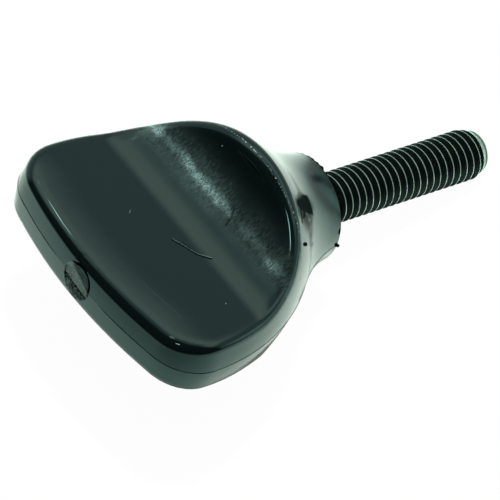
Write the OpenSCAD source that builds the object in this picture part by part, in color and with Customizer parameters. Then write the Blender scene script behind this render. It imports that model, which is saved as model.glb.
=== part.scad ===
// Thumb screw: a threaded steel stud with a moulded plastic thumb head.
// X runs along the stud, tipped down to where its tip and the head's crest both touch the surface.
// The origin is the centre of the neck's end face, and +Z is up as the screw lies.

/* [Head] */
// Length of the head, from the neck's end face to the outer edge
head_len = 32.35; // [29:0.05:40]
// Width of the head across its widest place
head_w = 33.4; // [31:0.1:38]
// Thickness of the head at its outer edge
edge_t = 6.6; // [5.6:0.1:8]
// Radius of the outer edge, seen from above
edge_r = 54; // [45:1:100]
// Radius of the two outer corners, seen from above
corner_r = 5.5; // [4:0.1:7]
// Radius of the swelling sides behind the corners
shoulder_r = 27.6; // [26:0.1:31]
// Radius of the rounding along every rim
rim_r = 1.2; // [0.6:0.05:1.8]

/* [Neck] */
// Diameter of the neck's end face
neck_d = 12.4; // [11:0.1:14]
// Radius of the hollow flare between the neck and the sides
flare_r = 16.5; // [12:0.1:22]
// Width of the gap between the thread and the mouth of the hole
relief_w = 0.35; // [0.2:0.05:0.6]
// Depth of that gap
relief_depth = 0.6; // [0.3:0.1:1.5]

/* [Thumb dish] */
// Distance from the neck's end face to the steep wall of the dish
crest_back = 11.5; // [11:0.1:14]
// Radius of the dish where it climbs to the crest
dish_r = 8.6; // [7:0.1:10]
// Slope of the flat part of the dish, in degrees
dish_slope = 2; // [0:0.1:4]

/* [Stud] */
// Outer diameter of the thread
thread_d = 5.9; // [4:0.05:7]
// Length of the stud beyond the neck
thread_len = 25.4; // [16:0.1:50]
// Distance between neighbouring ridges of the thread
pitch = 1; // [0.7:0.05:1.25]
// Angle between the flanks of neighbouring ridges, in degrees
flank_angle = 60; // [55:1:65]
// Diameter of the flat at the tip
tip_d = 4.5; // [3:0.1:5]
// Length of the chamfer at the tip
tip_chamfer = 0.8; // [0.4:0.1:1.2]

/* [Hidden anchor] */
// Length of the plain shank that the head is moulded around
shank_in = 9.6; // [6:0.1:10]
// How much thinner that shank is than the thread
shank_step = 0.6; // [0.3:0.05:1]
// Distance across the flats of the hexagonal anchor
anchor_af = 10; // [8:0.1:10.5]
// Thickness of the anchor
anchor_t = 4; // [3:0.1:4.2]

/* [Gate mark] */
// Diameter of the round recess where the moulding gate was
gate_d = 4.4; // [3:0.1:5]
// Depth of that recess
gate_depth = 0.45; // [0.2:0.05:0.8]
// Width of the groove between the recess and the broken stub inside it
gate_groove = 0.3; // [0.2:0.05:0.6]
// How far the stub's end lies below the outer edge
stub_drop = 0.1; // [0.05:0.05:0.15]

/* [Hidden] */
$fn = 96;

// How finely the head's surface is divided
neck_steps = 9;
rim_steps = 12;
wall_steps = 14;
flat_steps = 5;
side_steps = 3;
fillet_steps = 5;
top_steps = 9;
halvings = 20;
search_reach = 2;
tiny = 0.000001;
cut_past = 1;

// The outline is half of the head seen from above: [place along the stud, distance from its axis]
half_w = head_w / 2;
neck_r = neck_d / 2;
edge_c = [edge_r - head_len, 0];
corner_y = half_w - corner_r;
side_x = edge_c[0] - sqrt(pow(edge_r - corner_r, 2) - pow(corner_y, 2));
corner_c = [side_x, corner_y];
corner_slope = corner_y / (edge_c[0] - side_x);
shoulder_c = [side_x, half_w - shoulder_r];
neck_end = [0, neck_r];
to_shoulder = shoulder_c - neck_end;
shoulder_gap = norm(to_shoulder);
meet_cos = (pow(flare_r, 2) + pow(shoulder_gap, 2) - pow(flare_r + shoulder_r, 2))
         / (2 * flare_r * shoulder_gap);
neck_angle = atan2(to_shoulder[0], to_shoulder[1]) + acos(meet_cos);
flare_c = neck_end + flare_r * [sin(neck_angle), cos(neck_angle)];
join_line = (flare_c - shoulder_c) / norm(flare_c - shoulder_c);
join_x = shoulder_c[0] + shoulder_r * join_line[0];

// The dish is a profile seen from the side: a sloping line, an arc and an upright wall
edge_h = edge_t / 2;
wall_x = -crest_back;
dish_x = wall_x - dish_r;
dish_z = edge_h + tan(dish_slope) * (dish_x + head_len) + dish_r / cos(dish_slope);

// Signed gap to an arc and the direction away from the material, for bulging and hollow arcs
function bulge(p, c, r) = let (v = p - c, n = max(norm(v), tiny)) [n - r, v / n];
function hollow(p, c, r) = let (v = p - c, n = max(norm(v), tiny)) [r - n, -v / n];

function outline_gap(p) =
    p[0] < side_x
    ? (p[1] - corner_y > (side_x - p[0]) * corner_slope
        ? bulge(p, corner_c, corner_r)
        : bulge(p, edge_c, edge_r))
    : ((p[0] - shoulder_c[0]) * join_line[1] - (p[1] - shoulder_c[1]) * join_line[0] > 0
        ? hollow(p, flare_c, flare_r)
        : bulge(p, shoulder_c, shoulder_r));

function line_height(x) = edge_h + tan(dish_slope) * (x + head_len);

function dish_gap(p) =
    (p[0] - dish_x) * cos(dish_slope) + (p[1] - dish_z) * sin(dish_slope) < 0
    ? [(p[1] - line_height(p[0])) * cos(dish_slope), [-sin(dish_slope), cos(dish_slope)]]
    : (p[1] > dish_z && p[0] > dish_x
        ? [wall_x - p[0], [-1, 0]]
        : hollow(p, [dish_x, dish_z], dish_r));

// The head is the outline turned about the stud's axis, with the dish taken from both faces.
// A ball of radius rim_r rolls along the rim between them.
function head_gap(p) =
    let (
        out = max(norm([p[1], p[2]]), tiny),
        rise = abs(p[2]),
        a = dish_gap([p[0], rise]),
        b = outline_gap([p[0], out]),
        g = a[1][0] * b[1][0] + a[1][1] * b[1][1] * rise / out,
        u = a[0] + rim_r,
        v = b[0] + rim_r
    )
    u > g * v && v > g * u
    ? sqrt(max(u * u + v * v - 2 * g * u * v, 0) / max(1 - g * g, tiny)) - rim_r
    : max(a[0], b[0]);

// How many times the ray must be taken, from a start inside the head, to reach its surface
function reach(start, ray, low, high, left) =
    left == 0
    ? low
    : let (mid = (low + high) / 2)
      head_gap(start + ray * mid) < 0
      ? reach(start, ray, mid, high, left - 1)
      : reach(start, ray, low, mid, left - 1);

function skin(start, ray) = start + ray * reach(start, ray, 0, search_reach, halvings);

// Half width and half height of the section at x, before the rims are rounded
function half_width(x) =
    x > join_x
    ? flare_c[1] - sqrt(pow(flare_r, 2) - pow(x - flare_c[0], 2))
    : shoulder_c[1] + sqrt(pow(shoulder_r, 2) - pow(x - shoulder_c[0], 2));

function dish_height(x) =
    x < dish_x ? line_height(x) : dish_z - sqrt(max(pow(dish_r, 2) - pow(x - dish_x, 2), 0));

function half_height(x) = x > wall_x ? half_width(x) : min(half_width(x), dish_height(x));

// Quarter of a rounded rectangle that spreads the rays evenly over side, rim and face
function quarter_guide(w, h) = concat(
    [for (i = [0:side_steps - 1]) [w, (h - rim_r) * i / side_steps]],
    [for (i = [0:fillet_steps - 1])
        let (a = 90 * i / fillet_steps) [w - rim_r + rim_r * cos(a), h - rim_r + rim_r * sin(a)]],
    [for (i = [0:top_steps]) [(w - rim_r) * (1 - i / top_steps), h]]
);

quarter = side_steps + fillet_steps + top_steps;
ring = 4 * quarter;

function station_quarter(x) =
    [for (g = quarter_guide(half_width(x), half_height(x))) skin([x, 0, 0], [0, g[0], g[1]])];

function cap_quarter(a) =
    [for (g = quarter_guide(half_w, line_height(side_x)))
        skin([side_x, 0, 0], [(-head_len - side_x) * sin(a), g[0] * cos(a), g[1] * cos(a)])];

// A whole ring of points from its first quarter
function full_ring(q) = [for (j = [0:ring - 1])
    let (
        k = j % (2 * quarter),
        p = q[k <= quarter ? k : 2 * quarter - k],
        side = j <= quarter || j >= 3 * quarter ? 1 : -1,
        face = j <= 2 * quarter ? 1 : -1
    )
    [p[0], side * p[1], face * p[2]]];

rim_start = wall_x + 2 * rim_r;
stations = concat(
    [for (i = [0:neck_steps - 1]) rim_start * i / neck_steps],
    [for (i = [0:rim_steps - 1]) rim_start + (wall_x - rim_start) * i / rim_steps],
    [for (i = [0:wall_steps - 1]) dish_x + dish_r * cos(90 * i / wall_steps)],
    [for (i = [0:flat_steps]) dish_x + (side_x - dish_x) * i / flat_steps]
);
cap_angles = [12, 24, 33, 38, 42, 46, 50, 54, 58, 63, 70, 80];

rings = concat(
    [for (x = stations) full_ring(station_quarter(x))],
    [for (a = cap_angles) full_ring(cap_quarter(a))]
);
ring_count = len(rings);
pole = ring_count * ring;

head_points = concat([for (r = rings) for (p = r) p], [[-head_len, 0, 0]]);
head_faces = concat(
    [[for (j = [0:ring - 1]) j]],
    [for (i = [0:ring_count - 2]) for (j = [0:ring - 1])
        [i * ring + j, (i + 1) * ring + j, (i + 1) * ring + (j + 1) % ring]],
    [for (i = [0:ring_count - 2]) for (j = [0:ring - 1])
        [i * ring + j, (i + 1) * ring + (j + 1) % ring, i * ring + (j + 1) % ring]],
    [for (j = [0:ring - 1])
        [(ring_count - 1) * ring + j, pole, (ring_count - 1) * ring + (j + 1) % ring]]
);

// The screw lies on its crest and the corner of its tip, which sets how far the stud dips
thread_r = thread_d / 2;
thread_end = thread_len - tip_chamfer;
crest_x = wall_x + rim_r;
crest_z = shoulder_c[1] + sqrt(pow(shoulder_r - rim_r, 2) - pow(crest_x - shoulder_c[0], 2));
tip_run = thread_end - crest_x;
tip_drop = crest_z - thread_r;
dip = atan2(tip_drop, tip_run) + asin(rim_r / norm([tip_run, tip_drop]));

// The thread's ridges stand as rings, a pitch apart, back from where the tip's chamfer starts
crest_w = pitch / 8;
root_w = pitch / 4;
flank_w = (pitch - crest_w - root_w) / 2;
root_r = thread_r - flank_w / tan(flank_angle / 2);
least_start = 0.3;
ridge_count = floor(thread_end / pitch - least_start);
thread_start = thread_end - ridge_count * pitch;

module thread() {
    rotate([0, 90, 0])
        rotate_extrude()
        polygon(concat(
            [[0, 0], [thread_r, 0], [thread_r, thread_start]],
            [for (i = [0:ridge_count - 1]) let (x = thread_start + i * pitch)
                for (p = [
                    [root_r, x + flank_w],
                    [root_r, x + flank_w + root_w],
                    [thread_r, x + pitch - crest_w],
                    [thread_r, x + pitch]
                ]) p],
            [[tip_d / 2, thread_len], [0, thread_len]]
        ));
}

// The part of the stud that the head is moulded around: a plain shank and a hexagonal anchor
module shank() {
    rotate([0, 90, 0]) {
        translate([0, 0, -shank_in - anchor_t / 2])
            cylinder(d = thread_d - shank_step, h = shank_in + (anchor_t + thread_start) / 2);
        translate([0, 0, -shank_in - anchor_t])
            rotate([0, 0, 30])
            cylinder(d = anchor_af / cos(30), h = anchor_t, $fn = 6);
    }
}

// The stud as one turned piece
module stud() {
    color([0.16, 0.16, 0.17])
        rotate([0, dip, 0]) {
            thread();
            shank();
        }
}

// What is missing at the gate: a shallow round recess with the broken stub left standing in it
module gate_mark() {
    translate([-head_len - cut_past, 0, 0])
        rotate([0, 90, 0])
        difference() {
            cylinder(d = gate_d, h = gate_depth + cut_past);
            translate([0, 0, cut_past + stub_drop])
                cylinder(d = gate_d - 2 * gate_groove, h = gate_depth);
        }
}

// The gap around the thread where it leaves the neck
module relief() {
    translate([-relief_depth, 0, 0])
        rotate([0, 90, 0])
        cylinder(r = thread_r + relief_w, h = relief_depth + cut_past);
}

// The head as one moulding around the stud, with the gate mark in its outer edge
module knob() {
    color([0.13, 0.19, 0.19])
        rotate([0, dip, 0])
        difference() {
            polyhedron(points = head_points, faces = head_faces, convexity = 6);
            shank();
            relief();
            gate_mark();
        }
}

knob();
stud();
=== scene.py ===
import math
from functools import reduce
from operator import or_

import bpy
import numpy as np
from bpy.props import FloatProperty, FloatVectorProperty, IntProperty, PointerProperty
from mathutils import Matrix, Vector


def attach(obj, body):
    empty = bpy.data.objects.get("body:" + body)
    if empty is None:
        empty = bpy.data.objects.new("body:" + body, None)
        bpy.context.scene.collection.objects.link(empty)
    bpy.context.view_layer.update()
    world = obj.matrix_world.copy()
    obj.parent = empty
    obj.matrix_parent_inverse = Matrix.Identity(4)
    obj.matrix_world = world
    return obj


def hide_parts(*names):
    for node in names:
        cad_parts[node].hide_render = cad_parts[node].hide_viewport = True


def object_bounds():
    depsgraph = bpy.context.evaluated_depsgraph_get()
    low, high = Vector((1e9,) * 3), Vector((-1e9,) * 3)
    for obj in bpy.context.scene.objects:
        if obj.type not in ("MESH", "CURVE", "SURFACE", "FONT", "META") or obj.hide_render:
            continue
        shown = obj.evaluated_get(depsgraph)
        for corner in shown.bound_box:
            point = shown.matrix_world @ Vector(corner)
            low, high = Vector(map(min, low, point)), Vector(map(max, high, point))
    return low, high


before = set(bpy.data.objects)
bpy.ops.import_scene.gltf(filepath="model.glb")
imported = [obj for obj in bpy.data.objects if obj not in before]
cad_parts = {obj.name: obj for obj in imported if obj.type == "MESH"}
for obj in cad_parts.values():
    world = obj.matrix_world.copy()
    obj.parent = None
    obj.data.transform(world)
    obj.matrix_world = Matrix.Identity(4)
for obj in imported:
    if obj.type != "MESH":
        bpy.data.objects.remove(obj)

bl_info = {
    "name": "Thumb screw",
    "version": (1, 0, 0),
    "blender": (4, 5, 0),
    "location": "View3D > Sidebar > Thumb Screw",
    "description": "Models a moulded thumb head on a threaded steel stud, lying on a pale floor",
    "category": "Object",
}

CAD_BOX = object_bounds()
MM = 0.001
SAME = 1e-9


# Sizes and colours

def metres(name, description, default, low, high):
    return FloatProperty(name=name, description=description, default=default,
                         min=low, max=high, unit="LENGTH")


def angle(name, description, degrees):
    return FloatProperty(name=name, description=description, default=math.radians(degrees), subtype="ANGLE")


def share(name, description, default):
    return FloatProperty(name=name, description=description, default=default, min=0, max=1, subtype="FACTOR")


def watts(name, description, default, high):
    return FloatProperty(name=name, description=description, default=default, min=0, max=high, unit="POWER")


def tone(name, description, default):
    return FloatVectorProperty(name=name, description=description, default=default,
                               size=3, min=0, max=1, subtype="COLOR")


class HeadSettings(bpy.types.PropertyGroup):
    length: metres("Length", "From the neck's end face to the outer edge", 0.03235, 0.02, 0.05)
    width: metres("Width", "Across the head's widest place", 0.0334, 0.02, 0.05)
    edge_thickness: metres("Edge thickness", "Thickness of the head at its outer edge", 0.0066, 0.003, 0.01)
    edge_radius: metres("Edge radius", "Radius of the outer edge seen from above", 0.054, 0.03, 0.2)
    corner_radius: metres(
        "Corner radius", "Radius of the two outer corners seen from above", 0.0055, 0.003, 0.008)
    shoulder_radius: metres("Shoulder radius", "Radius of the swelling sides", 0.0276, 0.02, 0.04)
    flare_radius: metres("Flare radius", "Radius of the hollow flare behind the neck", 0.0165, 0.01, 0.03)
    neck_width: metres("Neck width", "Diameter of the neck's end face", 0.0124, 0.01, 0.016)
    rim_radius: metres("Rim radius", "Radius of the rounding along the rims", 0.0012, 0.0005, 0.002)
    crest_back: metres(
        "Crest distance", "From the neck's end face to the steep wall of the dish", 0.0115, 0.01, 0.015)
    dish_radius: metres(
        "Dish radius", "Radius of the dish where it climbs to the crest", 0.0086, 0.006, 0.012)
    dish_slope: angle("Dish slope", "Slope of the flat part of the dish", 2)
    draft: metres("Draft", "How far the walls lean in away from the parting line", 0.0001, 0, 0.0005)
    roll_width: metres(
        "Roll-off width", "How far from the outer edge the faces start to roll off", 0.0054, 0, 0.01)
    roll_off: metres("Roll-off", "How far each face has dropped at the outer edge", 0.00037, 0, 0.001)
    seam_width: metres(
        "Seam width", "Width of the raised bead left where the mould halves met", 0.00014, 0.00002, 0.0005)
    seam_height: metres("Seam height", "Height of that bead", 0.00005, 0, 0.0002)
    hole_width: metres("Hole width", "Diameter of the hole's mouth in the neck", 0.0066, 0.005, 0.01)
    hole_depth: metres("Mouth depth", "Depth of that mouth", 0.0006, 0.0002, 0.002)
    gate_width: metres("Gate width", "Diameter of the round gate mark", 0.0044, 0.002, 0.006)
    gate_groove: metres("Gate groove", "Width of the groove around the torn stub", 0.0003, 0.0001, 0.001)
    gate_depth: metres("Gate depth", "Depth of that groove", 0.00045, 0.0001, 0.001)
    plastic: tone("Plastic", "Colour of the moulded plastic", (0.0015, 0.004, 0.004))
    # The scuffed colour is also a painted highlight: it stands in for the lamp's reflection in the dish
    scuff_and_highlight: tone("Scuffs", "Colour of the plastic where it is scuffed", (0.21, 0.3, 0.31))
    polish: share("Roughness", "Roughness of the clean plastic", 0.06)
    neck_haze: share("Neck haze", "Extra roughness of the skin of the neck", 0.13)


class StudSettings(bpy.types.PropertyGroup):
    width: metres("Thread diameter", "Outer diameter of the thread", 0.0059, 0.003, 0.008)
    length: metres("Length", "Length of the stud beyond the neck", 0.0254, 0.01, 0.06)
    pitch: metres("Pitch", "Distance between neighbouring ridges", 0.001, 0.0005, 0.002)
    ridge_height: metres("Ridge height", "Depth of the thread's grooves", 0.0006, 0.0002, 0.001)
    tip_width: metres("Tip width", "Diameter of the flat at the tip", 0.0045, 0.002, 0.006)
    tip_chamfer: metres("Tip chamfer", "Length of the chamfer at the tip", 0.0008, 0.0002, 0.002)
    tip_worn: metres(
        "Tip wear", "From the tip to where the ridges start to be worn down", 0.0017, 0.001, 0.004)
    turns_around: IntProperty(
        name="Steps a turn", description="How many flats make one turn of the thread",
        default=56, min=16, max=128)
    shank_in: metres("Shank length", "Length of the plain shank hidden in the head", 0.0096, 0.005, 0.012)
    anchor_width: metres(
        "Anchor width", "Distance across the flats of the hidden anchor", 0.01, 0.006, 0.012)
    anchor_thickness: metres("Anchor thickness", "Thickness of the hidden anchor", 0.004, 0.001, 0.006)
    black: tone("Black finish", "Colour of the blackened steel", (0.0005, 0.002, 0.0024))
    worn: tone("Worn steel", "Colour of the bare steel on the worn ridges", (0.45, 0.56, 0.49))


class StageSettings(bpy.types.PropertyGroup):
    dip: angle("Dip", "How far the stud is tipped down as the screw lies", 14.377827)
    floor_colour: tone("Floor", "Colour of the floor", (0.93, 0.93, 0.93))
    floor_size: metres("Floor size", "Width of the floor", 4.0, 0.5, 20)
    floor_glow: share(
        "Floor glow", "How much of the floor's light is its own, so that shadows stay faint", 0.975)
    window_turn: angle("Window direction", "Direction of the room's bright side, from +X", 35)
    room_dim: share("Dark side", "Brightness of the room's dark side", 0.03)
    fill_watts: watts("Fill lamp", "Power of the soft lamp overhead", 2.2, 50)
    lamp_tint: tone("Lamp tint", "Colour of the soft lamps", (0.84, 1.0, 0.88))
    pool_watts: watts("Pool lamp", "Power of the lamp that lights the floor behind the screw", 58.0, 500)
    rim_watts: watts(
        "Rim lamp", "Power of the small lamp that draws the thin light along the rims", 0.09, 5)
    camera_turn: angle("Camera azimuth", "Direction in which the camera stands, from +X", -132.77514)
    camera_lift: angle("Camera elevation", "Height of the camera above the horizon, as an angle", 52.107874)
    camera_roll: angle("Camera roll", "How far up leans to the right in the picture", 9.039121)
    camera_distance: metres("Camera distance", "From the camera to the point it looks at", 0.771775, 0.1, 5)
    camera_aim: FloatVectorProperty(
        name="Camera aim", description="The point the camera looks at",
        default=(-0.0067605, 0.0002085, -0.003454), size=3, subtype="TRANSLATION")


# Hand work

def pick_none():
    """Object mode, with nothing selected."""
    if bpy.context.object and bpy.context.object.mode != "OBJECT":
        bpy.ops.object.mode_set(mode="OBJECT")
    bpy.ops.object.select_all(action="DESELECT")


def pick_only(ob):
    """Object mode, with this piece alone selected and active."""
    pick_none()
    ob.select_set(True)
    bpy.context.view_layer.objects.active = ob


def pick(ob, faces=None, edges=None, points=None):
    """Edit mode, with the faces, edges or points selected that the test accepts."""
    pick_only(ob)
    mesh = ob.data
    kind = "FACE" if faces else "EDGE" if edges else "VERT"
    bpy.ops.object.mode_set(mode="EDIT")
    bpy.ops.mesh.select_mode(type=kind)
    bpy.ops.mesh.select_all(action="DESELECT")
    bpy.ops.object.mode_set(mode="OBJECT")
    parts = {"FACE": mesh.polygons, "EDGE": mesh.edges, "VERT": mesh.vertices}[kind]
    test = faces or edges or points
    found = 0
    for part in parts:
        part.select = bool(test(part))
        found += part.select
    if not found:
        raise RuntimeError("nothing was found to select on " + ob.name)
    bpy.ops.object.mode_set(mode="EDIT")
    return found


def edges_where(ob, test):
    """A test for edges, from a test for both their end points."""
    points = ob.data.vertices
    return lambda edge: all(test(points[i].co) for i in edge.vertices)


def done(ob):
    pick_only(ob)
    return ob


def apply(ob, kind, **settings):
    """Adds a modifier with these settings and applies it."""
    pick_only(ob)
    modifier = ob.modifiers.new(kind.title(), kind)
    for key, value in settings.items():
        setattr(modifier, key, value)
    bpy.ops.object.modifier_apply(modifier=modifier.name)


def place_in_mesh():
    bpy.ops.object.transform_apply(location=True, rotation=True, scale=True)


def settle(ob, dip):
    """Tips a piece from its own straight place to where the screw lies."""
    pick_only(ob)
    ob.rotation_euler = (0, dip, 0)
    place_in_mesh()


def remove(ob):
    mesh = ob.data
    bpy.data.objects.remove(ob)
    bpy.data.meshes.remove(mesh)


def new_piece(name, points, faces, edges=()):
    mesh = bpy.data.meshes.new(name)
    mesh.from_pydata([tuple(map(float, p)) for p in points], edges, faces)
    ob = bpy.data.objects.new(name, mesh)
    bpy.context.collection.objects.link(ob)
    return done(ob)


def smooth(ob, degrees):
    pick_only(ob)
    bpy.ops.object.shade_smooth_by_angle(angle=math.radians(degrees))


# The head's form

def unit(v):
    length = np.maximum(np.linalg.norm(v, axis=-1), 1e-9)
    return v / length[..., None], length


class HeadForm:
    """The head's skin: an outline turned about the stud's axis, with the dish taken from both faces."""

    def __init__(self, s):
        for key in ("length", "edge_radius", "corner_radius", "shoulder_radius", "flare_radius",
                    "dish_radius", "rim_radius", "draft", "roll_width", "roll_off"):
            setattr(self, key.replace("radius", "r"), getattr(s, key) / MM)
        self.half_width, self.wall_x = s.width / MM / 2, -s.crest_back / MM
        self.half_edge = s.edge_thickness / MM / 2
        self.slope = s.dish_slope
        self.edge_c = np.array([self.edge_r - self.length, 0])
        corner_y = self.half_width - self.corner_r
        self.side_x = self.edge_c[0] - math.sqrt((self.edge_r - self.corner_r) ** 2 - corner_y ** 2)
        self.corner_c = np.array([self.side_x, corner_y])
        self.corner_slope = corner_y / (self.edge_c[0] - self.side_x)
        self.shoulder_c = np.array([self.side_x, self.half_width - self.shoulder_r])
        neck_end = np.array([0, s.neck_width / MM / 2])
        way = self.shoulder_c - neck_end
        gap = math.hypot(*way)
        turn = math.acos((self.flare_r ** 2 + gap ** 2 - (self.flare_r + self.shoulder_r) ** 2)
                         / (2 * self.flare_r * gap))
        bearing = math.atan2(way[0], way[1]) + turn
        self.flare_c = neck_end + self.flare_r * np.array([math.sin(bearing), math.cos(bearing)])
        self.join = (self.flare_c - self.shoulder_c) / math.hypot(*(self.flare_c - self.shoulder_c))
        self.join_x = self.shoulder_c[0] + self.shoulder_r * self.join[0]
        self.dish_x = self.wall_x - self.dish_r
        self.dish_z = (self.half_edge + math.tan(self.slope) * (self.dish_x + self.length)
                       + self.dish_r / math.cos(self.slope))

    def outline_gap(self, x, out):
        p = np.stack([x, out], -1)
        away, far = {}, {}
        for key in ("edge_c", "corner_c", "shoulder_c", "flare_c"):
            away[key], far[key] = unit(p - getattr(self, key))
        flare = (x - self.shoulder_c[0]) * self.join[1] - (out - self.shoulder_c[1]) * self.join[0] > 0
        gap = np.where(flare, self.flare_r - far["flare_c"], far["shoulder_c"] - self.shoulder_r)
        way = np.where(flare[..., None], -away["flare_c"], away["shoulder_c"])
        end = x < self.side_x
        corner = out - self.corner_c[1] > (self.side_x - x) * self.corner_slope
        end_gap = np.where(corner, far["corner_c"] - self.corner_r, far["edge_c"] - self.edge_r)
        end_way = np.where(corner[..., None], away["corner_c"], away["edge_c"])
        return np.where(end, end_gap, gap), np.where(end[..., None], end_way, way)

    def line_height(self, x):
        return self.half_edge + math.tan(self.slope) * (x + self.length)

    def dish_gap(self, x, rise):
        away, far = unit(np.stack([x - self.dish_x, rise - self.dish_z], -1))
        c, s = math.cos(self.slope), math.sin(self.slope)
        flat = (x - self.dish_x) * c + (rise - self.dish_z) * s < 0
        wall = (rise > self.dish_z) & (x > self.dish_x) & ~flat
        gap = np.where(flat, (rise - self.line_height(x)) * c,
                       np.where(wall, self.wall_x - x, self.dish_r - far))
        way = np.where(flat[..., None], [-s, c], np.where(wall[..., None], [-1.0, 0.0], -away))
        return gap, way

    def gap(self, p):
        """Signed gap to the skin, with a ball of the rim's radius rolled along every rim."""
        out = np.maximum(np.hypot(p[..., 1], p[..., 2]), 1e-9)
        rise = np.abs(p[..., 2])
        a, a_way = self.dish_gap(p[..., 0], rise)
        b, b_way = self.outline_gap(p[..., 0], out)
        g = a_way[..., 0] * b_way[..., 0] + a_way[..., 1] * b_way[..., 1] * rise / out
        u, v = a + self.rim_r, b + self.rim_r
        rim = (u > g * v) & (v > g * u)
        ball = np.sqrt(np.maximum(u * u + v * v - 2 * g * u * v, 0)
                       / np.maximum(1 - g * g, 1e-9)) - self.rim_r
        return np.where(rim, ball, np.maximum(a, b))

    def skin(self, start, rays):
        """Where rays from inside the head meet its skin."""
        low, high = np.zeros(len(rays)), np.full(len(rays), 2.0)
        for _ in range(26):
            middle = (low + high) / 2
            inside = self.gap(start + rays * middle[:, None]) < 0
            low, high = np.where(inside, middle, low), np.where(inside, high, middle)
        return start + rays * low[:, None]

    def half_width_at(self, x):
        if x > self.join_x:
            return self.flare_c[1] - math.sqrt(self.flare_r ** 2 - (x - self.flare_c[0]) ** 2)
        return self.shoulder_c[1] + math.sqrt(self.shoulder_r ** 2 - (x - self.shoulder_c[0]) ** 2)

    def half_height_at(self, x):
        if x > self.wall_x:
            return self.half_width_at(x)
        if x < self.dish_x:
            height = self.line_height(x)
        else:
            height = self.dish_z - math.sqrt(max(self.dish_r ** 2 - (x - self.dish_x) ** 2, 0))
        return min(self.half_width_at(x), height)

    def guide(self, w, h, side=7, fillet=11, top=26):
        """Directions of the rays for one whole ring, spread evenly over side, rim and face."""
        r = self.rim_r
        row = 0.12
        quarter = [(w, 0)] + [(w, row + (h - r - row) * i / side) for i in range(side)]
        quarter += [(w - r + r * math.cos(a), h - r + r * math.sin(a))
                    for a in np.linspace(0, math.pi / 2, fillet, endpoint=False)]
        quarter += [((w - r) * (1 - i / top), h) for i in range(top + 1)]
        half = quarter + [(-y, z) for y, z in quarter[-2::-1]]
        return np.array(half + [(y, -z) for y, z in half[-2:0:-1]])

    def rings(self):
        """Rings of points from the neck's end face to near the middle of the outer edge."""
        start = self.wall_x + 2 * self.rim_r
        turns = np.linspace(0, math.pi / 2, 40, endpoint=False)
        places = np.concatenate([
            np.linspace(0, start, 30, endpoint=False),
            np.linspace(start, self.wall_x, 36, endpoint=False),
            self.dish_x + self.dish_r * np.cos(turns),
            np.linspace(self.dish_x, self.side_x, 22),
        ])
        rings = []
        for x in places:
            aim = self.guide(self.half_width_at(x), self.half_height_at(x))
            rays = np.column_stack([np.zeros(len(aim)), aim])
            rings.append(self.skin(np.array([x, 0, 0]), rays))
        fan = [6, 12, 18, 24, 29, 33, 36, 39, 42, 44, 46, 48, 50, 52, 54, 56, 58, 61, 64, 68, 73, 78, 83, 87]
        aim = self.guide(self.half_width, self.line_height(self.side_x))
        for degrees in fan:
            a = math.radians(degrees)
            along = np.full(len(aim), (-self.length - self.side_x) * math.sin(a))
            rays = np.column_stack([along, aim * math.cos(a)])
            rings.append(self.skin(np.array([self.side_x, 0, 0]), rays))
        return [self.mould(ring) for ring in rings]

    def mould(self, ring):
        """The walls lean in away from the parting line, and the faces roll off at the outer edge."""
        x, y, rise = ring[:, 0], ring[:, 1], np.abs(ring[:, 2])
        out = np.maximum(np.hypot(y, ring[:, 2]), 1e-9)
        _, way = self.outline_gap(x, out)
        fade = np.clip(-x / 2, 0, 1) * np.clip((7 - rise) / 3.5, 0, 1)
        lean = -self.draft * np.clip(rise / (self.half_edge - self.rim_r), 0, 1) * fade
        moved = ring.copy()
        moved[:, 0] += way[:, 0] * lean
        moved[:, 1] += way[:, 1] * lean * y / out
        edge = self.edge_c[0] - np.sqrt(self.edge_r ** 2 - np.minimum(np.abs(y), self.corner_c[1]) ** 2)
        near = np.clip(1 - (x - edge) / self.roll_width, 0, 1)
        moved[:, 2] -= ring[:, 2] / self.half_edge * self.roll_off * near ** 2
        return moved


def head_skin(s):
    """The head as a closed skin, with one flat face at the neck's end."""
    form = HeadForm(s)
    rings = form.rings()
    around, count = len(rings[0]), len(rings)
    pole = np.array([[-form.length, 0, 0]])
    points = np.concatenate(rings + [pole]) * MM
    faces = [tuple(range(around))]
    for i in range(count - 1):
        a, b = i * around, (i + 1) * around
        faces += [(a + j, b + j, b + (j + 1) % around, a + (j + 1) % around) for j in range(around)]
    last = (count - 1) * around
    faces += [(last + j, count * around, last + (j + 1) % around) for j in range(around)]
    return new_piece("thumb_head", points, faces)


def tube(name, rings, sides, turn=0.0):
    """A closed turned piece along X, turned about X. Each ring is a place along X and a radius."""
    x, radius = rings[0]
    pick_none()
    bpy.ops.mesh.primitive_circle_add(vertices=sides, radius=radius, fill_type="NGON",
                                      location=(x, 0, 0), rotation=(0, math.pi / 2, 0))
    ob = bpy.context.object
    ob.name = ob.data.name = name
    place_in_mesh()
    if turn:
        ob.rotation_euler = (turn, 0, 0)
        place_in_mesh()
    bpy.ops.object.mode_set(mode="EDIT")
    bpy.ops.mesh.select_mode(type="FACE")
    bpy.ops.mesh.select_all(action="SELECT")
    for far, size in rings[1:]:
        bpy.ops.mesh.extrude_region_move(TRANSFORM_OT_translate={"value": (far - x, 0, 0)})
        if abs(size - radius) > SAME:
            bpy.ops.transform.resize(value=(1, size / radius, size / radius),
                                     center_override=(far, 0, 0))
        x, radius = far, size
    bpy.ops.mesh.select_all(action="SELECT")
    bpy.ops.mesh.normals_make_consistent(inside=False)
    return done(ob)


# Finishes

def on_signals(operation, swapped=False):
    """A Python operator between signals that adds this Math node."""
    def operator(self, other):
        return self.maths(operation, *((other, self) if swapped else (self, other)))
    return operator


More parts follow.
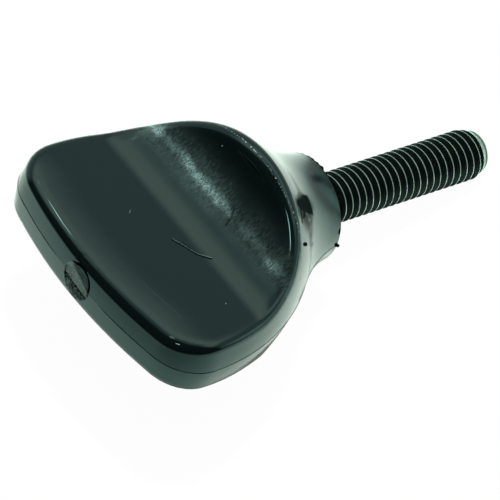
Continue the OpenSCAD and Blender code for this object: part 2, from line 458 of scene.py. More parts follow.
class Signal:
    """A value or colour in a node tree. Python's operators on it add Math nodes."""

    __add__, __radd__ = on_signals("ADD"), on_signals("ADD", swapped=True)
    __sub__, __rsub__ = on_signals("SUBTRACT"), on_signals("SUBTRACT", swapped=True)
    __mul__, __rmul__ = on_signals("MULTIPLY"), on_signals("MULTIPLY", swapped=True)
    __truediv__, __pow__ = on_signals("DIVIDE"), on_signals("POWER")
    __or__, __and__ = on_signals("MAXIMUM"), on_signals("MINIMUM")

    def __init__(self, nodes, socket):
        self.nodes, self.socket = nodes, socket

    def maths(self, operation, *values):
        return self.nodes.node("ShaderNodeMath", {"operation": operation}, *values)

    def __abs__(self):
        return self.maths("ABSOLUTE", self)

    def ramp(self, low, high):
        """0 below low and 1 above high, easing between them; the other way round if low is above high."""
        start, end = (0.0, 1.0) if low < high else (1.0, 0.0)
        return self.nodes.node(
            "ShaderNodeMapRange", {"interpolation_type": "SMOOTHSTEP"},
            self, min(low, high), max(low, high), start, end)

    def wave(self):
        return self.maths("SINE", self)


def most(signals):
    """At each place the greatest of these signals."""
    return reduce(or_, signals)


class Nodes:
    """A node tree, written as Python expressions."""

    def __init__(self, tree, output):
        self.tree = tree
        tree.nodes.clear()
        self.output = tree.nodes.new(output)

    def node(self, kind, settings, *values, out=0, **named):
        """Any node: its settings first, then the values or links of its sockets."""
        node = self.tree.nodes.new(kind)
        for key, value in settings.items():
            setattr(node, key, value)
        pairs = list(zip(node.inputs, values))
        pairs += [(node.inputs[key.replace("_", " ")], value) for key, value in named.items()]
        for socket, value in pairs:
            self.fill(socket, value)
        return Signal(self, node.outputs[out])

    def fill(self, socket, value):
        if isinstance(value, Signal):
            self.tree.links.new(value.socket, socket)
        else:
            socket.default_value = value

    def others(self, signal, *names):
        """Further outputs of the node that a signal comes from."""
        return [Signal(self, signal.socket.node.outputs[name]) for name in names]

    def vector(self, operation, *values, out="Vector", **named):
        return self.node("ShaderNodeVectorMath", {"operation": operation}, *values, out=out, **named)

    def mix(self, amount, first, second):
        """From the first colour to the second as the amount goes from 0 to 1."""
        node = self.tree.nodes.new("ShaderNodeMix")
        node.data_type = "RGBA"
        self.fill(node.inputs[0], amount)
        for index, colour in ((6, first), (7, second)):
            self.fill(node.inputs[index], colour if isinstance(colour, Signal) else (*colour, 1))
        return Signal(self, node.outputs[2])

    def close(self, shader):
        self.tree.links.new(shader.socket, self.output.inputs["Surface"])


class Finish(Nodes):
    """A material, laid out on a piece's own straight place in millimetres."""

    def __init__(self, name, dip):
        self.material = bpy.data.materials.new(name)
        self.material.use_nodes = True
        super().__init__(self.material.node_tree, "ShaderNodeOutputMaterial")
        place = self.node("ShaderNodeTexCoord", {}, out="Object")
        self.place = self.node("ShaderNodeMapping", {"vector_type": "POINT"}, place,
                               Rotation=(0, -dip, 0), Scale=(1000, 1000, 1000))
        self.x = self.node("ShaderNodeSeparateXYZ", {}, self.place, out="X")
        self.y, self.z = self.others(self.x, "Y", "Z")

    def noise(self, scale, detail=3.0, rough=0.55, stretch=(1, 1, 1), turn=(0, 0, 0), shift=(0, 0, 0)):
        """Soft noise from 0 to 1, with this many cycles a millimetre."""
        place = self.node("ShaderNodeMapping", {"vector_type": "POINT"}, self.place,
                          Location=shift, Rotation=turn, Scale=stretch)
        return self.node("ShaderNodeTexNoise", {"noise_dimensions": "3D"}, place,
                         Scale=scale, Detail=detail, Roughness=rough)

    def spot(self, centre, sizes, edge=0.35, wobble=None):
        """1 inside an ellipsoid at this place and 0 outside it, with a soft or ragged edge."""
        moved = self.vector("SUBTRACT", self.place, centre)
        far = self.vector("LENGTH", self.vector("DIVIDE", moved, sizes), out="Value")
        if wobble is not None:
            far = far + wobble
        return far.ramp(1 + edge, 1 - edge)

    def patch(self, centre, sizes, turn=0.0, edge=0.35, wobble=None):
        """1 inside an ellipse that lies on the first two MARK_AXES, down to MARK_DEPTH, and 0 outside it."""
        moved = self.vector("SUBTRACT", self.place, centre)
        across, down, depth = [self.vector("DOT_PRODUCT", moved, axis, out="Value") for axis in MARK_AXES]
        c, s = math.cos(turn), math.sin(turn)
        long = across * (c / sizes[0]) + down * (s / sizes[0])
        wide = down * (c / sizes[1]) - across * (s / sizes[1])
        far = (long * long + wide * wide) ** 0.5
        if wobble is not None:
            far = far + wobble
        return far.ramp(1 + edge, 1 - edge) * abs(depth).ramp(MARK_DEPTH, MARK_DEPTH * 0.8)

    def line(self, start, end, width, edge=0.5, wobble=None):
        """1 along a straight scratch between two places and 0 away from it."""
        a, b = Vector(start), Vector(end)
        way = b - a
        moved = self.vector("SUBTRACT", self.place, tuple(a))
        along = self.vector("DOT_PRODUCT", moved, tuple(way / way.length_squared), out="Value")
        carried = self.vector("SCALE", tuple(way), Scale=(along | 0.0) & 1.0)
        far = self.vector("LENGTH", self.vector("SUBTRACT", moved, carried), out="Value")
        if wobble is not None:
            far = far + wobble
        return (far / width).ramp(1 + edge, 1 - edge)

    def path(self, places, width, edge=0.5, wobble=None):
        """1 along a scratch through these places."""
        return most(self.line(a, b, width, edge, wobble) for a, b in zip(places, places[1:]))

    def bump(self, height):
        """A normal for the shader, from a height in millimetres."""
        return self.node("ShaderNodeBump", {}, Strength=1.0, Distance=MM, Height=height, out="Normal")

    def shader(self, **sockets):
        return self.node("ShaderNodeBsdfPrincipled", {}, out="BSDF", **sockets)


def dress(ob, finish):
    ob.data.materials.clear()
    ob.data.materials.append(finish.material)


# The plastic's wear, marks and painted light, at places in millimetres on the straight head

MARK_AXES = ((0.7598, -0.5797, 0.2944), (-0.2504, -0.6788, -0.6903), (-0.6, -0.4508, 0.6609))
MARK_DEPTH = 1.8

# Where across the dish the scuffed band and its painted highlight lie, and the least of both anywhere
SCUFF_HIGHLIGHT_X = -14.4
SCUFF_HIGHLIGHT_LEAST = 0.06
# Centre, half sizes, softness and strength of the places where scuffing and painted highlight show most
SCUFF_HIGHLIGHT_PLACES = (
    ((-14.4, 12.4, 5.9), (3.0, 1.5, 3.0), 0.7, 1.05),
    ((-14.6, 3.0, 5.7), (3.0, 4.4, 3.0), 0.5, 0.8),
    ((-14.3, 8.8, 5.9), (3.0, 2.0, 3.0), 0.6, 0.3),
    ((-14.3, -10.0, 5.9), (3.0, 1.3, 3.0), 0.8, 0.45),
    ((-14.0, -6.0, 6.2), (3.0, 2.6, 3.0), 0.6, 0.2),
)

CUT = ((-21.23, -1.3, 3.68), (-20.55, -2.82, 3.7), (-19.9, -4.2, 3.72), (-18.85, -5.37, 3.83))
CUT_BRANCH = ((-20.34, -2.06, 3.71), (-20.01, -3.31, 3.72))
# Painted highlight: a thin pale line beside the cut, where its edge catches the light
CUT_HIGHLIGHT = ((-21.1, -1.19, 3.68), (-20.42, -2.72, 3.7), (-19.77, -4.1, 3.73), (-18.7, -5.25, 3.84))
LONG_LINE = ((-28.17, -5.54, 3.43), (-27.19, -11.11, 3.47))
NICK = ((-13.93, -1.83, 6.33), (-14.5, -2.4, 5.8), (-15.3, -2.71, 5.18))
# Start, end and width
FAINT_LINES = (
    ((-30.03, -0.2, 3.37), (-29.06, -2.81, 3.4), 0.07),
    ((-29.2, 3.58, 3.4), (-29.51, 1.64, 3.39), 0.06),
    ((-15.71, 11.73, 4.92), (-15.49, 10.38, 5.06), 0.05),
)
# Centre, half sizes, turn, softness and strength
SPECKS = (
    ((-12.0, 4.5, 9.45), (0.07, 0.06), 0, 0.35, 0.8),
    ((-21.27, -11.34, 3.67), (0.06, 0.06), 0, 0.35, 0.5),
    ((-23.21, 4.04, 3.61), (0.05, 0.2), 0.3, 0.35, 0.25),
    ((-29.95, -13.02, 3.29), (0.25, 0.1), 0.4, 0.8, 0.25),
)


def scuffing_and_highlight(f):
    """How scuffed the thumb dish is where it starts to climb, with a painted highlight, and the fine strokes
    across that band.
    """
    strokes = f.noise(6.0, 2, 0.6, stretch=(0.25, 1.0, 0.25), turn=(0, 0, 0.08))
    crossed = f.noise(7.5, 2, 0.6, stretch=(0.3, 1.0, 0.3), turn=(0, 0, -0.25), shift=(4, 0, 0))
    hatch = strokes.ramp(0.42, 0.6) * 0.6 + crossed.ramp(0.42, 0.6) * 0.4
    grain = f.noise(8.0, 2, 0.8, stretch=(0.7, 1.0, 0.7), turn=(0, 0, 0.5), shift=(1, 5, 2))
    speckle = grain.ramp(0.48, 0.62)
    drift = (f.noise(0.25, 2, shift=(3.1, 0.4, 0)) - 0.5) * 0.9
    off = f.x - SCUFF_HIGHLIGHT_X + drift + (f.noise(1.6, 2, 0.6) - 0.5) * 0.6
    core = abs(off).ramp(0.85, 0.0)
    skirt = off.ramp(-2.4, -0.1) * off.ramp(2.7, 0.1)
    places = most(f.spot(centre, sizes, edge) * strength for centre, sizes, edge, strength in SCUFF_HIGHLIGHT_PLACES)
    places = places | SCUFF_HIGHLIGHT_LEAST
    level = (core * core * places * (0.1 + 0.5 * hatch + 0.9 * speckle)
             + skirt * (0.09 + 0.15 * places) * (0.3 + 0.7 * hatch))
    dish = f.z.ramp(0.4, 1.6) * f.x.ramp(-11.6, -12.2)
    return (level * dish) & 1.0, hatch


def scratches(f):
    """The cut, the nick and the faint lines in the dish, and what is bright: specks and thin lines, one a
    painted highlight.
    """
    wave = (f.noise(1.4, 2) - 0.5) * 0.03
    cut = f.path(CUT, 0.075, wobble=wave) | f.line(*CUT_BRANCH, 0.03, wobble=wave) * 0.4
    nick = f.path(NICK, 0.09, wobble=wave)
    faint = most(f.line(*ends, width, 0.9, wobble=wave) for *ends, width in FAINT_LINES)
    bright = most(f.patch(*place, edge) * strength for *place, edge, strength in SPECKS)
    # The cut's painted highlight
    bright = bright | f.path(CUT_HIGHLIGHT, 0.03, wobble=wave) * 0.3
    bright = bright | f.line(*LONG_LINE, 0.045, 0.9, wobble=wave) * 0.05
    return cut, nick, faint, bright


def neck_marks(f):
    """Dull marks on the neck, and the pit below them, which is painted near-black as the shade inside it."""
    ragged = (f.noise(1.3, 4, 0.7) - 0.5) * 0.7
    combed = (f.noise(3.0, 2, 0.6, stretch=(0.6, 0.6, 0.25)) - 0.5) * 0.5
    pit = f.patch((-9.87, -9.5, 6.93), (0.25, 0.24), 0, 0.12)
    dull = most((
        f.patch((-6.55, -5.4, 7.9), (1.3, 0.85), 0.8, 0.14, ragged + combed),
        f.patch((-8.7, -6.2, 9.4), (0.8, 0.45), 0.9, 0.3, ragged),
        f.path(((-8.9, -6.1, 9.2), (-9.4, -7.1, 8.95), (-9.7, -7.75, 8.7)), 0.2, 0.6, combed * 0.3),
        f.line((-8.0, -6.3, 8.3), (-8.9, -7.2, 8.5), 0.13, 0.6, combed * 0.2),
        f.line((-7.15, -7.65, 5.95), (-8.3, -8.97, 5.75), 0.07, 0.7, ragged * 0.05) * 0.8,
        f.patch((-1.6, -1.5, 6.45), (0.75, 0.4), 0.3, 0.7, ragged) * 0.75,
        f.line((-1.3, -1.4, 6.3), (-0.5, -2.4, 5.9), 0.35, 0.9, combed * 0.4) * 0.45,
        pit,
    ))
    return dull, pit


def plastic_finish(s, dip):
    f = Finish("moulded_plastic", dip)
    x, y, z = f.x, f.y, f.z
    worn, hatch = scuffing_and_highlight(f)
    cut, nick, faint, bright = scratches(f)
    dull, pit = neck_marks(f)
    # Bright short strokes along the crest's rim, in the scuffed colour: a worn edge, with its glints painted
    # in
    wear_and_glint_dashes = f.noise(4.0, 3, 0.7).ramp(0.5, 0.64)
    crest = abs(x + 10.95).ramp(0.12, 0.03) * z.ramp(7.0, 9.0) * wear_and_glint_dashes

    # The torn stub at the gate: a facet painted lighter where the light falls on it, a torn lower part and
    # the dark splits in it
    out = (y * y + z * z) ** 0.5
    gate = out.ramp(2.2, 2.12) * x.ramp(-31.2, -31.6)
    grit = f.noise(5.5, 3, 0.7)
    tear = f.noise(2.6, 4, 0.7, stretch=(1, 0.6, 1))
    grain = f.noise(5.5, 3, 0.8, shift=(3, 1, 2))
    below = z - y * 0.08 + (tear - 0.5) * 0.45
    torn = gate * below.ramp(-0.6, -0.72)
    split = gate * below.ramp(-0.42, -0.62) * below.ramp(-2.1, -1.1) * grain.ramp(0.56, 0.5)
    lit = gate * (z - y * 0.43).ramp(1.02, 0.94) * (1 - torn) * grain.ramp(0.4, 0.58)
    rings = (out * 14.0).wave() * out.ramp(2.2, 2.4) * out.ramp(3.9, 2.6) * x.ramp(-31.0, -31.4)

    # The flash that stands out from the neck's end face, and its nubs, both painted near-black and matte,
    # partly as the shade beside the stud
    nubs = f.spot((0, -5.9, 1.92), (0.36, 0.36, 0.42), 0.1) | f.spot((0, -6.2, 0.1), (0.3, 0.3, 0.4), 0.1)
    flash = x.ramp(0.015, 0.05) | nubs

    # Painted highlight: the pale scuffed colour stands in for the lamp's reflection along the dish's band,
    # and the crest's strokes for glints on its worn rim
    colour = f.mix((worn | crest) & 1.0, tuple(s.plastic), tuple(s.scuff_and_highlight))
    # Pale specks and thin lines, among them the cut's painted highlight
    colour = f.mix(bright & 1.0, colour, (0.3, 0.36, 0.35))
    # Painted light on the stub's upper facet
    colour = f.mix(lit, colour, (0.09, 0.12, 0.11))
    colour = f.mix(torn * grain.ramp(0.5, 0.66), colour, (0.16, 0.2, 0.18))
    rubbed = f.spot((-16.4, 13.8, 4.3), (1.8, 1.2, 1.2)) * 0.35
    neck = out.ramp(14.5, 12.5) * x.ramp(-11.2, -9.5)
    rough = s.polish + rubbed + worn * 0.3 + gate * 0.2 + neck * s.neck_haze
    ripple = f.noise(0.3, 2, 0.5)
    normal = f.bump(ripple * 0.012 + worn * hatch * 0.01 - cut * 0.07 - nick * 0.05 - faint * 0.006
                    + gate * tear * 0.07 + torn * grit * 0.08 + lit * grain * 0.05 + rings * 0.0025)
    skin = f.shader(Base_Color=colour, Roughness=rough, IOR=1.7, Specular_Tint=(0.52, 1.0, 0.97, 1),
                    Normal=normal)
    # Painted shade: the pit and the flash are made near-black, standing in for the shade in the pit and
    # between the neck and the stud
    dark = f.mix(pit | flash, (0.0035, 0.0075, 0.0075), (0.0007, 0.0007, 0.0007))
    dark = f.mix(flash * grit.ramp(0.6, 0.7) * (1 - nubs), dark, (0.04, 0.02, 0.018))
    flat = f.shader(Base_Color=dark, Roughness=0.8, IOR=1.06, Normal=normal)
    unlit = dull | flash | nick * 0.8 | split | cut | faint * 0.5
    f.close(f.node("ShaderNodeMixShader", {}, unlit & 1.0, skin, flat, out="Shader"))
    return f


# How fast the radius of the worn ridges falls towards the tip
TIP_SLOPE = 0.38


def steel_finish(s, dip):
    f = Finish("blackened_steel", dip)
    x = f.x
    out = (f.y * f.y + f.z * f.z) ** 0.5
    crest, length = s.width / MM / 2, s.length / MM
    root = crest - s.ridge_height / MM
    patches = f.noise(0.8, 4, 0.6)
    fine = f.noise(5.0, 3, 0.7)
    near = out + ((x - length + s.tip_worn / MM) | 0.0) * TIP_SLOPE
    bared = f.noise(2.0, 3, 0.7).ramp(0.3, 0.62)
    wear = near.ramp(crest - 0.012, crest - 0.002) * (0.45 + 0.55 * bared)
    wear = wear * x.ramp(length - 0.35, length - 0.7)
    # Painted shade: the neck's shadow on the stud's first ridges, where the worn lines are taken away and
    # brown specks of flash show
    ragged = x + (f.noise(1.8, 3, 0.7) - 0.5) * 0.5
    shade = ragged.ramp(3.45, 3.15) * ragged.ramp(2.2, 2.5)
    bare = wear * (1 - shade)
    rust = (1 - out.ramp(root + 0.1, crest - 0.1)) * patches.ramp(0.45, 0.7) * 0.5
    # Painted highlight: the tip's end is made a lighter grey-green, standing in for the light on its chamfer
    tip = x.ramp(length - 0.6, length - 0.45)
    colour = f.mix(fine.ramp(0.35, 0.7), tuple(s.black), (0.002, 0.006, 0.0065))
    colour = f.mix(rust, colour, (0.009, 0.008, 0.005))
    colour = f.mix(tip * (0.4 + 0.6 * fine.ramp(0.35, 0.6)), colour, (0.11, 0.15, 0.125))
    colour = f.mix(bare, colour, tuple(s.worn))
    colour = f.mix(shade * fine.ramp(0.6, 0.72), colour, (0.06, 0.035, 0.03))
    rough = 0.4 - wear * 0.15 + patches * 0.1
    normal = f.bump(fine * 0.012 + patches * 0.02)
    f.close(f.shader(Base_Color=colour, Roughness=rough, Metallic=bare, IOR=1.25,
                     Specular_Tint=(0.6, 1.0, 1.0, 1), Normal=normal))
    return f


# The pieces

# The neck's end face is the only one with more corners than this that looks along +X
MANY_CORNERS = 40
# Width of the lip on that face, and how far the plain shank lies under the thread's ridges
LIP_WIDTH = 0.00012
SHANK_STEP = 0.0003
# The anchor's corners from the axis, as a share of its width
CORNER_SHARE = 0.577
# How far the stud's hole reaches from the neck's face and from the axis, as the parting line sees it
HOLE_END, HOLE_REACH = 0.014, 0.0061
# The parting line stops this far from the axis at the gate
GATE_CLEAR = 0.0022
# The lumps of flash on the neck's end face: direction in degrees from +Y, and radius
NUBS = ((162, 0.00027), (180, 0.00021), (177.5, 0.00013))
# The gate's groove is open on this side, measured from +Y
OPEN_TURN = math.radians(122)


class SCREW_OT_head(bpy.types.Operator):
    """Model the moulded thumb head, with its parting line, torn gate mark and the hole in its neck"""
    bl_idname = "thumb_screw.head"
    bl_label = "Thumb head"
    bl_options = {"REGISTER", "UNDO"}

    def execute(self, context):
        s, dip = context.scene.thumb_head, context.scene.thumb_stage.dip
        head = head_skin(s)
        self.open_neck(head, s, context.scene.thumb_stud)
        self.raise_seam(head, s)
        self.cut_gate(head, s)
        smooth(head, 32)
        settle(head, dip)
        dress(head, plastic_finish(s, dip))
        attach(head, "root")
        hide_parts("knob")
        return {"FINISHED"}

    def open_neck(self, head, s, stud):
        """The hole for the stud in the neck's end face, then the ragged flash round that face."""
        neck, mouth = s.neck_width / 2, s.hole_width / 2
        shank, anchor = stud.width / 2 - SHANK_STEP, stud.anchor_width * CORNER_SHARE
        anchor_end = -stud.shank_in - stud.anchor_thickness
        pick(head, faces=lambda face: len(face.vertices) > MANY_CORNERS and face.normal.x > 0.9)
        bpy.ops.mesh.inset(thickness=LIP_WIDTH)
        bpy.ops.mesh.inset(thickness=neck - mouth - LIP_WIDTH)
        x = 0.0
        for far, size in ((-s.hole_depth, mouth), (-s.hole_depth, shank), (-stud.shank_in, shank),
                          (-stud.shank_in, anchor), (anchor_end, anchor)):
            bpy.ops.mesh.extrude_region_move(TRANSFORM_OT_translate={"value": (far - x, 0, 0)})
            now = self.radius_of_picked(head)
            bpy.ops.transform.resize(value=(1, size / now, size / now), center_override=(far, 0, 0))
            x = far
        bpy.ops.object.mode_set(mode="OBJECT")
        rng = np.random.default_rng(5)
        self.raise_lip(head, neck, rng)
        self.add_nubs(head, neck, rng)

    def raise_lip(self, head, neck, rng):
        """A thin ragged lip round the neck's end face, highest on top and on the side beside the top."""
        waves = [(k, rng.uniform(0, 6.3), rng.uniform(0.4, 1.0)) for k in (3, 5, 8, 13, 21, 34, 47)]
        for v in head.data.vertices:
            out = math.hypot(v.co.y, v.co.z)
            if abs(v.co.x) < 1e-7 and abs(out - neck) < 2e-5:
                a = math.atan2(v.co.z, v.co.y)
                rag = sum(w * math.sin(k * a + p) for k, p, w in waves) / 3
                top = max(0.0, 1 - abs(math.degrees(a) - 86) / 32)
                side = min(1.0, max(0.0, (24 - abs(math.degrees(a) - 128)) / 8))
                v.co.x += 0.00004 + 0.00003 * rag + (0.00028 * top + 0.0003 * side) * (1 + 0.7 * rag)

    def add_nubs(self, head, neck, rng):
        """Small lumps of flash on the lip, each a ball with a few lobes and dents."""
        nubs = []
        for degrees, size in NUBS:
            a = math.radians(degrees)
            pick_none()
            bpy.ops.mesh.primitive_ico_sphere_add(subdivisions=3, radius=size, location=(
                0.00002, neck * math.cos(a), neck * math.sin(a)))
            nub = bpy.context.object
            bpy.ops.object.transform_apply(location=True)
            centre = sum((v.co for v in nub.data.vertices), Vector()) / len(nub.data.vertices)
            lobes = [(Vector(rng.normal(size=3)).normalized(), rng.uniform(-0.45, 0.5)) for _ in range(7)]
            for v in nub.data.vertices:
                way = (v.co - centre).normalized()
                v.co += (v.co - centre) * sum(k * max(way.dot(d), 0) ** 4 for d, k in lobes)
            nubs.append(nub)
        pick_only(head)
        for nub in nubs:
            nub.select_set(True)
        bpy.ops.object.join()

    @staticmethod
    def radius_of_picked(head):
        bpy.ops.object.mode_set(mode="OBJECT")
        face = next(p for p in head.data.polygons if p.select)
        p = head.data.vertices[face.vertices[0]].co
        bpy.ops.object.mode_set(mode="EDIT")
        return math.hypot(p.y, p.z)

    def raise_seam(self, head, s):
        """The parting line: a fine bead all round, clear of the gate, the neck's face and the stud's hole."""
        def on_seam(p):
            return abs(p.z) < 1e-8 and -s.length + 0.0002 < p.x < -0.0003 and abs(p.y) > GATE_CLEAR

        def in_hole(p):
            return p.x > -HOLE_END and abs(p.y) < HOLE_REACH

        pick(head, edges=edges_where(head, lambda p: on_seam(p) and not in_hole(p)))
        bpy.ops.mesh.bevel(offset=s.seam_width / 2, offset_type="OFFSET", segments=2, profile=0.5)
        bpy.ops.object.mode_set(mode="OBJECT")
        for v in head.data.vertices:
            if v.select and on_seam(v.co):
                v.co += v.normal * s.seam_height

    def cut_gate(self, head, s):
        """The round groove and the torn stub inside it, in the outer edge."""
        r, end = s.gate_width / 2, -s.length
        cutter = tube("gate_cutter", [(end - MM, r), (end + s.gate_depth, r)], 96)
        apply(head, "BOOLEAN", operation="DIFFERENCE", object=cutter, solver="EXACT")
        remove(cutter)
        torn = self.torn_stub(s, r - s.gate_groove)
        pick_only(head)
        torn.select_set(True)
        bpy.ops.object.join()

    def torn_stub(self, s, radius):
        """The stub fills the groove where its end was torn off low, and leaves it open on the other side."""
        rings, sides = 40, 128
        rng = np.random.default_rng(11)
        waves = [(rng.uniform(-1, 1, 2), rng.uniform(0, 6.3)) for _ in range(40)]
        groove = s.gate_width / 2 - radius
        points = []
        for i in range(rings + 1):
            for j in range(sides):
                a = 2 * math.pi * j / sides
                shut = 1 / (1 + math.exp((math.cos(a - OPEN_TURN) - 0.38) / 0.05))
                out = (radius + (groove + 0.00004) * shut) * i / rings
                y, z = out * math.cos(a), out * math.sin(a)
                points.append((y, z, self.torn_height(y / MM, z / MM, waves)))
        base = -s.length + s.gate_depth + 0.0002
        bulge = s.edge_radius
        top = [(-s.length + bulge - math.sqrt(bulge ** 2 - y * y) - h * MM, y, z) for y, z, h in points]
        foot = [(base, y, z) for y, z, _ in points[-sides:]]
        faces = [(i * sides + j, i * sides + (j + 1) % sides, (i + 1) * sides + (j + 1) % sides,
                  (i + 1) * sides + j) for i in range(rings + 1) for j in range(sides)]
        faces.append(tuple((rings + 1) * sides + j for j in range(sides)))
        stub = new_piece("torn_stub", top + foot, faces)
        pick(stub, points=lambda v: True)
        bpy.ops.mesh.remove_doubles(threshold=1e-7)
        bpy.ops.mesh.normals_make_consistent(inside=False)
        return done(stub)

    @staticmethod
    def torn_height(y, z, waves):
        """How far the stub's end stands up, in millimetres: two facets that meet, and a torn part."""
        over = z - 0.98 - 0.43 * y
        torn = z - 0.08 * y + 0.73
        rag = sum(math.sin(7 * (w[0] * y + w[1] * z) + p) for w, p in waves[:14]) / 14
        fine = sum(math.sin(24 * (w[0] * y + w[1] * z) + p) for w, p in waves[14:]) / 14
        if over > 0:
            return 0.05 - 0.16 * over
        height = 0.05 + 0.06 * over + 0.02 * rag * min(1, -over * 3)
        low = 1 / (1 + math.exp(torn / 0.05))
        return height + low * (0.02 + 0.1 * rag + 0.1 * fine) - 0.14 * math.exp(-(torn / 0.09) ** 2)


class SCREW_OT_stud(bpy.types.Operator):
    """Model the threaded stud, with its chamfered tip and the shank and anchor hidden in the head"""
    bl_idname = "thumb_screw.stud"
    bl_label = "Threaded stud"
    bl_options = {"REGISTER", "UNDO"}

    def execute(self, context):
        s, dip = context.scene.thumb_stud, context.scene.thumb_stage.dip
        stud = self.thread(s)
        self.trim(stud, s)
        self.add_anchor(stud, s)
        smooth(stud, 34)
        settle(stud, dip)
        dress(stud, steel_finish(s, dip))
        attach(stud, "root")
        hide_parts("stud")
        return {"FINISHED"}

    def thread(self, s):
        """One pitch of the profile, screwed along the axis."""
        top, low, p = s.width / 2, s.width / 2 - s.ridge_height, s.pitch
        half = [(0, top), (0.05, top), (0.085, top - 0.00003), (0.34, low + 0.00008), (0.41, low + 0.00001)]
        profile = half + [(0.5, low)] + [(1 - u, r) for u, r in reversed(half)]
        start = -1.5 * MM
        points = [(start + u * p, 0, r) for u, r in profile]
        edges = [(i, i + 1) for i in range(len(points) - 1)]
        stud = new_piece("threaded_stud", points, [], edges)
        turns = int((s.length - start) / p) + 3
        apply(stud, "SCREW", axis="X", angle=2 * math.pi, screw_offset=p, iterations=turns,
              steps=s.turns_around, render_steps=s.turns_around, use_merge_vertices=True,
              merge_threshold=1e-6, use_normal_calculate=True)
        return stud

    def trim(self, stud, s):
        """Cuts the thread off at both ends, and wears its last ridges down to the rounded tip."""
        for place, way in ((-0.5 * MM, -1), (s.length, 1)):
            pick(stud, points=lambda v: True)
            bpy.ops.mesh.bisect(plane_co=(place, 0, 0), plane_no=(way, 0, 0),
                                use_fill=True, clear_outer=True)
        bpy.ops.mesh.select_all(action="SELECT")
        bpy.ops.mesh.remove_doubles(threshold=1e-7)
        bpy.ops.mesh.normals_make_consistent(inside=False)
        r, flat = s.width / 2, s.tip_width / 2
        worn = s.length - s.tip_worn
        chamfer_r = r - TIP_SLOPE * (s.tip_worn - s.tip_chamfer)
        shell = tube("tip_shell", [(-MM, r * 1.2), (worn, r * 1.2), (worn, r + 0.00001),
                                   (s.length - s.tip_chamfer, chamfer_r),
                                   (s.length - 0.0002, flat + 0.00017), (s.length, flat)], 112)
        apply(stud, "BOOLEAN", operation="INTERSECT", object=shell, solver="EXACT")
        remove(shell)

    def add_anchor(self, stud, s):
        """The plain shank and the hexagonal anchor that the head is moulded around."""
        shank_r, corner_r = s.width / 2 - SHANK_STEP, s.anchor_width / math.sqrt(3)
        shank = tube("shank", [(-s.shank_in - s.anchor_thickness / 2, shank_r), (-0.4 * MM, shank_r)], 64)
        anchor = tube("anchor", [(-s.shank_in - s.anchor_thickness, corner_r), (-s.shank_in, corner_r)],
                      6, math.pi / 6)
        pick_only(stud)
        shank.select_set(True)
        anchor.select_set(True)
        bpy.ops.object.join()


LENS_MM, SENSOR_MM = 504, 36


def direction(turn, lift):
    """The way to a place at this angle from +X and this height above the horizon."""
    return Vector((math.cos(lift) * math.cos(turn), math.cos(lift) * math.sin(turn), math.sin(lift)))


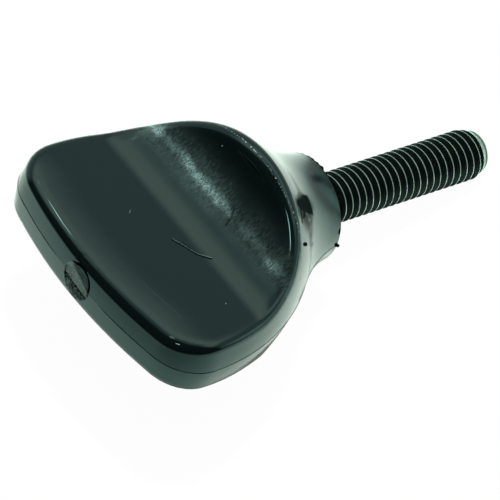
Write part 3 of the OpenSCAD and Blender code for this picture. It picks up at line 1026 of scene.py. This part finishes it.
class SCREW_OT_stage(bpy.types.Operator):
    """Set up the pale floor, the soft light and the camera"""
    bl_idname = "thumb_screw.stage"
    bl_label = "Stage"
    bl_options = {"REGISTER", "UNDO"}

    def execute(self, context):
        s = context.scene.thumb_stage
        self.floor(s)
        self.light(context.scene, s)
        self.camera(context.scene, s)
        context.scene.view_settings.view_transform = "Standard"
        return {"FINISHED"}

    def floor(self, s):
        """A pale floor that mostly lights itself where the camera sees it, so the shadow stays faint."""
        pick_none()
        bpy.ops.mesh.primitive_plane_add(size=s.floor_size, location=(0, 0, CAD_BOX[0][2]))
        floor = bpy.context.object
        floor.name = "floor"
        bpy.ops.object.transform_apply(location=True)
        f = Finish("pale_floor", 0)
        colour = f.mix(f.noise(0.01, 2) * 0.1, tuple(s.floor_colour), (0.9, 0.9, 0.9))
        seen = f.node("ShaderNodeLightPath", {}, out="Is Camera Ray")
        mirrored = f.others(seen, "Is Glossy Ray")[0]
        far = (f.x * f.x + f.y * f.y) ** 0.5
        side = ((f.x * math.cos(s.window_turn) + f.y * math.sin(s.window_turn)) / far).ramp(-0.05, 0.25)
        glow = f.mix(seen | side * 0.5, (s.room_dim,) * 3, (1, 1, 1))
        plain = f.shader(Base_Color=colour, Roughness=0.9, IOR=1.1)
        lit = f.node("ShaderNodeEmission", {}, glow, 1.0)
        # Seen in reflections, the floor far from the screw glows like the room, bright on the window side and
        # dim on the camera's
        f.close(f.node("ShaderNodeMixShader", {}, seen * s.floor_glow | mirrored * far.ramp(60, 260),
                       plain, lit, out="Shader"))
        dress(floor, f)

    def light(self, scene, s):
        """A soft room, bright on the far side and dark on the camera's, with a high window and four lamps."""
        world = bpy.data.worlds.new("soft_room")
        world.use_nodes = True
        n = Nodes(world.node_tree, "ShaderNodeOutputWorld")
        x = n.node("ShaderNodeSeparateXYZ", {}, n.node("ShaderNodeTexCoord", {}, out="Generated"), out="X")
        y, z = n.others(x, "Y", "Z")
        back = (x * math.cos(s.window_turn) + y * math.sin(s.window_turn)).ramp(-0.05, 0.25)
        aside = (x * 0.77 - y * 0.64).ramp(0.6, 0.95) * z.ramp(0.35, 0.15)
        window = z.ramp(0.55, 0.74) * z.ramp(0.935, 0.82)
        bands = 0.5 + aside * 0.5 - z.ramp(0.2, 0.3) * 0.15 + window * 0.57 - z.ramp(0.965, 0.99) * 0.3
        level = s.room_dim + (bands - s.room_dim) * back
        seen = n.node("ShaderNodeLightPath", {}, out="Is Camera Ray")
        tint = n.mix(z.ramp(0.35, 0.2), n.mix(window, (1, 1, 1), (1.2, 1.0, 0.9)), (0.85, 1.0, 0.9))
        colour = n.mix(seen, (0, 0, 0), (1, 1, 1))
        colour = n.vector("ADD", colour, n.vector("SCALE", tint, Scale=level * (1 - seen)))
        n.close(n.node("ShaderNodeBackground", {}, colour, 1.0))
        scene.world = world
        for name, turn, lift, far, size, power, glossy in (
                ("lamp_overhead", -100, 82, 0.8, 0.8, s.fill_watts, False),
                ("lamp_rim", 78, 56.3, 0.9, 0.063, s.rim_watts, True),
                ("lamp_crest", -150, 67, 0.9, 0.1, s.rim_watts * 3, True)):
            lamp = bpy.data.lights.new(name, "AREA")
            lamp.shape, lamp.size, lamp.energy = "SQUARE", size, power
            lamp.color = (1, 1, 1) if glossy else tuple(s.lamp_tint)
            self.hang(lamp, turn, lift, far, (0, 0, 0), glossy)
        pool = bpy.data.lights.new("lamp_pool", "SPOT")
        pool.energy, pool.shadow_soft_size, pool.spot_blend = s.pool_watts, 0.05, 1.0
        pool.spot_size, pool.color = math.radians(10.5), tuple(s.lamp_tint)
        self.hang(pool, 50, 80, 0.9, (0.01, 0.028, CAD_BOX[0][2]), False)

    @staticmethod
    def hang(lamp, turn, lift, far, aim, glossy):
        """Places a lamp so that it shines on a place from this direction and distance."""
        ob = bpy.data.objects.new(lamp.name, lamp)
        way = direction(math.radians(turn), math.radians(lift))
        ob.location = Vector(aim) + way * far
        ob.rotation_euler = way.to_track_quat("Z", "Y").to_euler()
        ob.visible_glossy = glossy
        bpy.context.collection.objects.link(ob)

    def camera(self, scene, s):
        back = direction(s.camera_turn, s.camera_lift)
        up = (Vector((0, 0, 1)) - back * back.z).normalized()
        right = up.cross(back)
        c, r = math.cos(s.camera_roll), math.sin(s.camera_roll)
        tall, wide = up * c - right * r, right * c + up * r
        data = bpy.data.cameras.new("camera")
        data.lens, data.sensor_width, data.clip_start, data.clip_end = LENS_MM, SENSOR_MM, 0.01, 20
        camera = bpy.data.objects.new("camera", data)
        place = Vector(s.camera_aim) + back * s.camera_distance
        turned = Matrix((wide, tall, back)).transposed().to_4x4()
        camera.matrix_world = Matrix.Translation(place) @ turned
        bpy.context.collection.objects.link(camera)
        scene.camera = camera


class SCREW_PT_panel(bpy.types.Panel):
    """The thumb screw's pieces and stage"""
    bl_idname = "SCREW_PT_panel"
    bl_label = "Thumb Screw"
    bl_space_type = "VIEW_3D"
    bl_region_type = "UI"
    bl_category = "Thumb Screw"

    def draw(self, context):
        layout = self.layout
        for operator, settings in ((SCREW_OT_head, context.scene.thumb_head),
                                   (SCREW_OT_stud, context.scene.thumb_stud),
                                   (SCREW_OT_stage, context.scene.thumb_stage)):
            box = layout.box()
            box.operator(operator.bl_idname)
            for key in settings.__annotations__:
                box.prop(settings, key)


SETTINGS = {"thumb_head": HeadSettings, "thumb_stud": StudSettings, "thumb_stage": StageSettings}
CLASSES = (*SETTINGS.values(), SCREW_OT_head, SCREW_OT_stud, SCREW_OT_stage, SCREW_PT_panel)


def register():
    for item in CLASSES:
        bpy.utils.register_class(item)
    for name, settings in SETTINGS.items():
        setattr(bpy.types.Scene, name, PointerProperty(type=settings))


def unregister():
    for name in SETTINGS:
        delattr(bpy.types.Scene, name)
    for item in reversed(CLASSES):
        bpy.utils.unregister_class(item)


def main():
    register()
    bpy.ops.thumb_screw.stage()
    bpy.ops.thumb_screw.stud()
    bpy.ops.thumb_screw.head()


if __name__ == "__main__":
    main()
